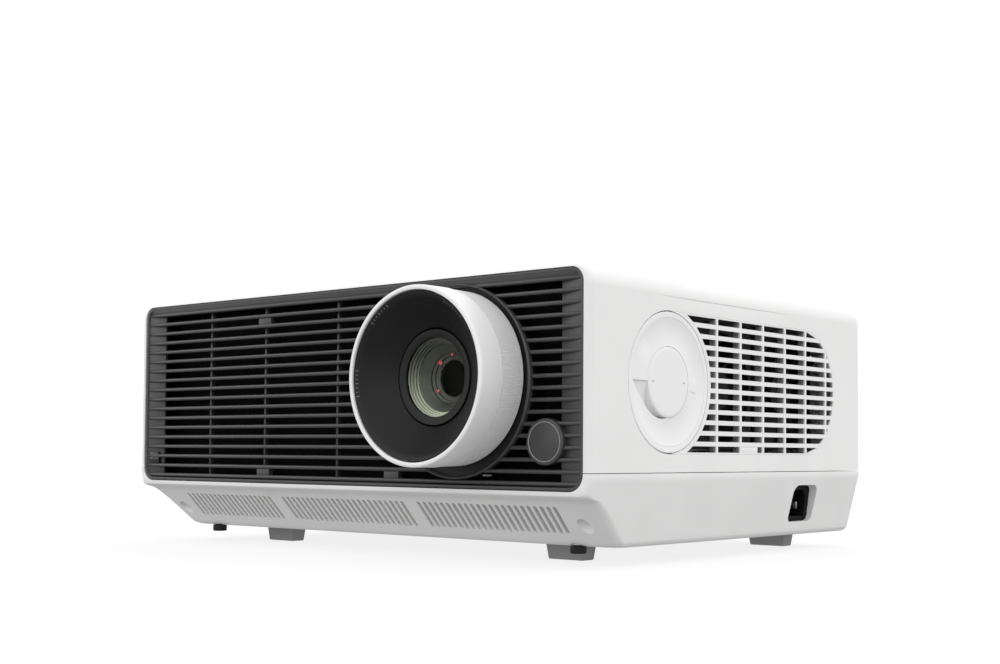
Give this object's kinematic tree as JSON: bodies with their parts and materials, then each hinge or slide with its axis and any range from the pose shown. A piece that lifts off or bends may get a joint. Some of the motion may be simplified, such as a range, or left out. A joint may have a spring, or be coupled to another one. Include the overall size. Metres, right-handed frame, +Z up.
{
  "type": "home projector",
  "caption": "Laser home projector with louvred front grille, shifting zoom lens, side shift dials, vented sides, rear sockets and screw feet.",
  "frame": {"origin": "on the table below the middle of the whole object, lens included", "axes": "+X to the right when facing the lens, +Y from the lens to the rear panel, +Z up"},
  "size_m": [0.37, 0.322, 0.155],
  "materials": {
    "white_plastic": "fine satin texture",
    "charcoal_plastic": "satin",
    "black_plastic": "matt",
    "grey_rubber": "matt",
    "optical_glass": "coated, polished",
    "infrared_window": "polished",
    "aluminium": "satin anodised",
    "magnesium": "cast, blasted",
    "steel": "satin",
    "circuit_board": "solder mask",
    "phosphor": "powdery"
  },
  "bodies": {
    "casing": {"top_cover": "white_plastic", "lower_housing": "white_plastic", "side_vent_grille": "white_plastic", "left_vent_grille": "white_plastic", "dial_dish": "white_plastic", "front_grille": "charcoal_plastic", "badge": "charcoal_plastic", "dust_mesh": "black_plastic", "rear_panel": "black_plastic", "audio_jack": "black_plastic", "ac_inlet": "black_plastic", "speaker_left": "black_plastic", "speaker_right": "black_plastic", "exhaust_fan_front_frame": "black_plastic", "exhaust_fan_rear_frame": "black_plastic", "intake_fan_frame": "black_plastic", "foot_front_left": "grey_rubber", "foot_front_right": "grey_rubber", "foot_rear_left": "grey_rubber", "foot_rear_right": "grey_rubber", "ir_receiver": "infrared_window", "rear_ir_receiver": "infrared_window", "laser_module": "aluminium", "heat_sink": "aluminium", "lens_mount_frame": "magnesium", "optical_engine": "magnesium", "hdmi_port_1": "steel", "hdmi_port_2": "steel", "usb_port": "steel", "lan_port": "steel", "case_screw_front_left": "steel", "case_screw_front_right": "steel", "case_screw_rear_left": "steel", "case_screw_rear_right": "steel", "wheel_motor": "steel", "main_board": "circuit_board", "power_board": "circuit_board"},
    "lift_carriage": {"vertical_shift_plate": "steel"},
    "lens": {"horizontal_shift_plate": "magnesium", "lens_barrel": "aluminium", "lens_hood": "black_plastic"},
    "focus_control": {"focus_ring": "white_plastic"},
    "focus_group": {"focus_cell": "black_plastic", "front_lens": "optical_glass", "lens_retainer": "black_plastic"},
    "zoom_control": {"zoom_ring": "white_plastic"},
    "zoom_group": {"zoom_cell": "black_plastic", "zoom_lens": "optical_glass"},
    "vertical_dial": {"vertical_shift_dial": "white_plastic"},
    "horizontal_dial": {"horizontal_shift_dial": "white_plastic"},
    "foot_tip_left": {"adjust_foot_left": "black_plastic"},
    "foot_screw_left": {"adjust_stud_left": "steel"},
    "foot_tip_right": {"adjust_foot_right": "black_plastic"},
    "foot_screw_right": {"adjust_stud_right": "steel"},
    "key": {"control_key": "black_plastic"},
    "exhaust_rotor_front": {"exhaust_fan_front_rotor": "black_plastic"},
    "exhaust_rotor_rear": {"exhaust_fan_rear_rotor": "black_plastic"},
    "intake_rotor": {"intake_fan_rotor": "black_plastic"},
    "colour_wheel": {"phosphor_wheel": "phosphor"}
  },
  "joints": [
    {"name": "lens_shift_vertical", "type": "slide", "parent": "casing", "child": "lift_carriage", "axis": [0, 0, 1], "range_m": [-0.0025, 0]},
    {"name": "lens_shift_horizontal", "type": "slide", "parent": "lift_carriage", "child": "lens", "axis": [1, 0, 0], "range_m": [-0.0018, 0.0018]},
    {"name": "focus_turn", "type": "hinge", "parent": "lens", "child": "focus_control", "pos_m": [0.094, -0.153, 0.0985], "axis": [0, 1, 0], "range_deg": [-45, 60]},
    {"name": "focus_travel", "type": "slide", "parent": "lens", "child": "focus_group", "axis": [0, 1, 0], "range_m": [-0.00062, 0.00083]},
    {"name": "zoom_turn", "type": "hinge", "parent": "lens", "child": "zoom_control", "pos_m": [0.094, -0.136, 0.0985], "axis": [0, 1, 0], "range_deg": [-35, 35]},
    {"name": "zoom_travel", "type": "slide", "parent": "lens", "child": "zoom_group", "axis": [0, 1, 0], "range_m": [-0.0101, 0.0101]},
    {"name": "vertical_dial_turn", "type": "hinge", "parent": "casing", "child": "vertical_dial", "pos_m": [0.179, -0.059, 0.097], "axis": [1, 0, 0], "range_deg": [-39, 1]},
    {"name": "horizontal_dial_turn", "type": "hinge", "parent": "casing", "child": "horizontal_dial", "pos_m": [0.179, -0.059, 0.097], "axis": [1, 0, 0], "range_deg": [-28, 28]},
    {"name": "key_press", "type": "slide", "parent": "casing", "child": "key", "axis": [0, -1, 0], "range_m": [0, 0.001], "stiffness_N_per_m": 400},
    {"name": "exhaust_front_spin", "type": "hinge", "parent": "casing", "child": "exhaust_rotor_front", "pos_m": [0.16, 0.018, 0.097], "axis": [1, 0, 0], "continuous": true},
    {"name": "exhaust_rear_spin", "type": "hinge", "parent": "casing", "child": "exhaust_rotor_rear", "pos_m": [0.16, 0.092, 0.097], "axis": [1, 0, 0], "continuous": true},
    {"name": "intake_spin", "type": "hinge", "parent": "casing", "child": "intake_rotor", "pos_m": [-0.165, -0.03, 0.097], "axis": [1, 0, 0], "continuous": true},
    {"name": "colour_wheel_spin", "type": "hinge", "parent": "casing", "child": "colour_wheel", "pos_m": [-0.03, -0.011, 0.085], "axis": [1, 0, 0], "continuous": true},
    {"name": "foot_extend_left", "type": "slide", "parent": "casing", "child": "foot_tip_left", "axis": [0, 0, -1], "range_m": [0, 0.012]},
    {"name": "foot_turn_left", "type": "hinge", "parent": "foot_tip_left", "child": "foot_screw_left", "pos_m": [-0.1488, -0.0906, 0.02], "axis": [0, 0, 1], "range_deg": [0, 1445]},
    {"name": "foot_extend_right", "type": "slide", "parent": "casing", "child": "foot_tip_right", "axis": [0, 0, -1], "range_m": [0, 0.012]},
    {"name": "foot_turn_right", "type": "hinge", "parent": "foot_tip_right", "child": "foot_screw_right", "pos_m": [0.1488, -0.0906, 0.02], "axis": [0, 0, 1], "range_deg": [0, 1445]}
  ],
  "couplings": [
    {"joint": "vertical_dial_turn", "follows": "lens_shift_vertical", "rad_per_m": 261.8},
    {"joint": "horizontal_dial_turn", "follows": "lens_shift_horizontal", "rad_per_m": 261.8},
    {"joint": "focus_turn", "follows": "focus_travel", "rad_per_m": 1250},
    {"joint": "zoom_travel", "follows": "zoom_turn", "m_per_rad": 0.0164},
    {"joint": "foot_turn_left", "follows": "foot_extend_left", "rad_per_m": 2094.4},
    {"joint": "foot_turn_right", "follows": "foot_extend_right", "rad_per_m": 2094.4}
  ]
}
